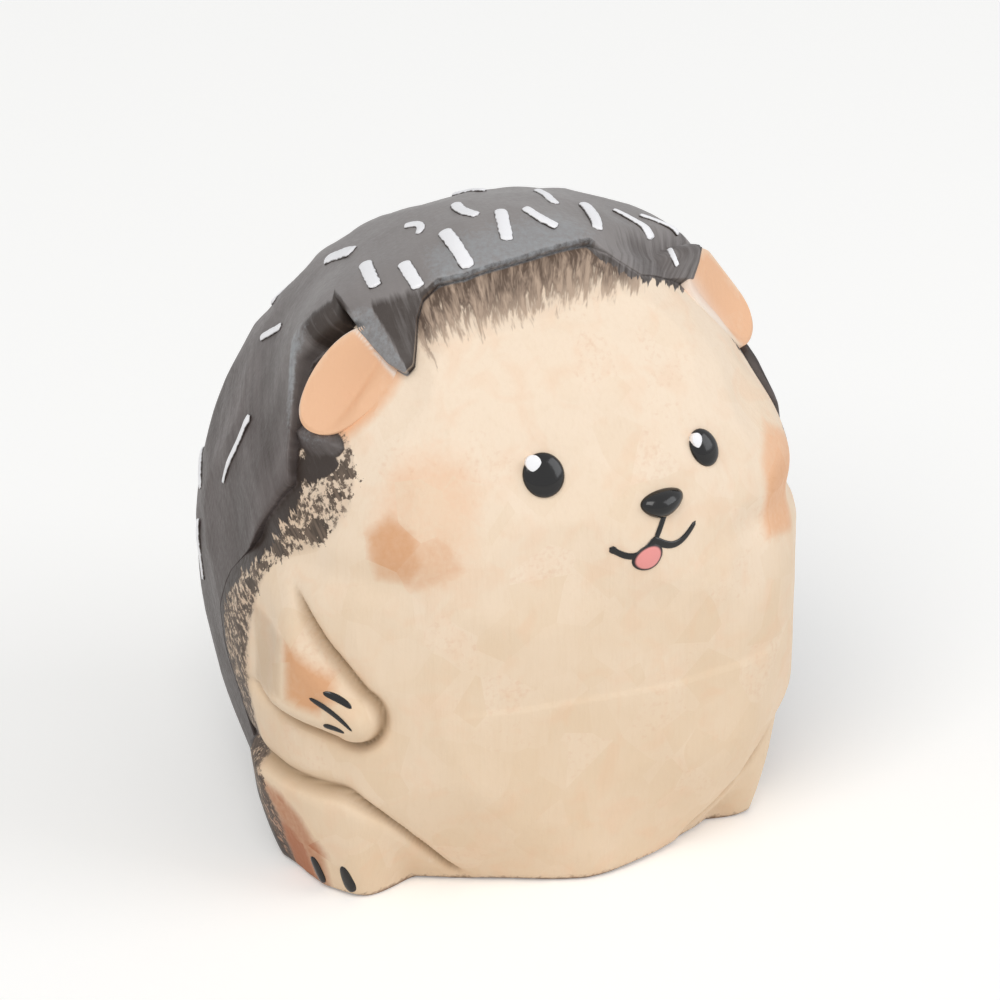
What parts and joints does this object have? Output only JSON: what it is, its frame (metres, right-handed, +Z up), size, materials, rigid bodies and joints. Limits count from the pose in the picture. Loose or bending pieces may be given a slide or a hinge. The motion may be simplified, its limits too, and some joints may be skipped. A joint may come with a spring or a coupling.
{
  "type": "carved hedgehog figurine",
  "caption": "Small upright hedgehog figurine carved from one block of wood and hand painted: pale face and belly, raised dark coat with white quill strokes, flat base.",
  "frame": {"origin": "middle of the flat base, on the plane the figurine stands on", "axes": "+Z up through the crown, -Y the way the chest faces, +X the animal's own left side"},
  "size_m": [0.042, 0.0386, 0.0463],
  "materials": {
    "bare_face": "matt cream acrylic over knife-carved basswood",
    "dark_coat": "matt grey-brown acrylic over knife-carved basswood",
    "ear_peach": "matt peach acrylic over knife-carved basswood",
    "black_gloss": "glossy black acrylic paint",
    "white_paint": "thick white acrylic brush strokes",
    "tongue_pink": "satin pink acrylic paint"
  },
  "bodies": {
    "root": {"carved_body": "bare_face", "quill_mantle": "dark_coat", "left_ear": "ear_peach", "right_ear": "ear_peach", "left_eye": "black_gloss", "right_eye": "black_gloss", "left_eye_glint": "white_paint", "right_eye_glint": "white_paint", "nose": "black_gloss", "tongue": "tongue_pink", "mouth_line": "black_gloss", "philtrum_line": "black_gloss", "left_paw_claw_1": "black_gloss", "left_paw_claw_2": "black_gloss", "left_paw_claw_3": "black_gloss", "right_paw_claw_1": "black_gloss", "right_paw_claw_2": "black_gloss", "right_paw_claw_3": "black_gloss", "left_foot_claw_1": "black_gloss", "left_foot_claw_2": "black_gloss", "right_foot_claw_1": "black_gloss", "right_foot_claw_2": "black_gloss", "quill_stroke_01": "white_paint", "quill_stroke_02": "white_paint", "quill_stroke_03": "white_paint", "quill_stroke_04": "white_paint", "quill_stroke_05": "white_paint", "quill_stroke_06": "white_paint", "quill_stroke_07": "white_paint", "quill_stroke_08": "white_paint", "quill_stroke_09": "white_paint", "quill_stroke_10": "white_paint", "quill_stroke_11": "white_paint", "quill_stroke_12": "white_paint", "quill_stroke_13": "white_paint", "quill_stroke_14": "white_paint", "quill_stroke_15": "white_paint", "quill_stroke_16": "white_paint", "quill_stroke_17": "white_paint", "quill_stroke_18": "white_paint", "quill_stroke_19": "white_paint", "quill_stroke_20": "white_paint", "quill_stroke_21": "white_paint", "quill_stroke_22": "white_paint", "quill_stroke_23": "white_paint", "quill_stroke_24": "white_paint", "quill_stroke_25": "white_paint", "quill_stroke_26": "white_paint", "quill_stroke_27": "white_paint", "quill_stroke_28": "white_paint", "quill_stroke_29": "white_paint", "quill_stroke_30": "white_paint", "quill_stroke_31": "white_paint", "quill_stroke_32": "white_paint", "quill_stroke_33": "white_paint"}
  },
  "joints": []
}
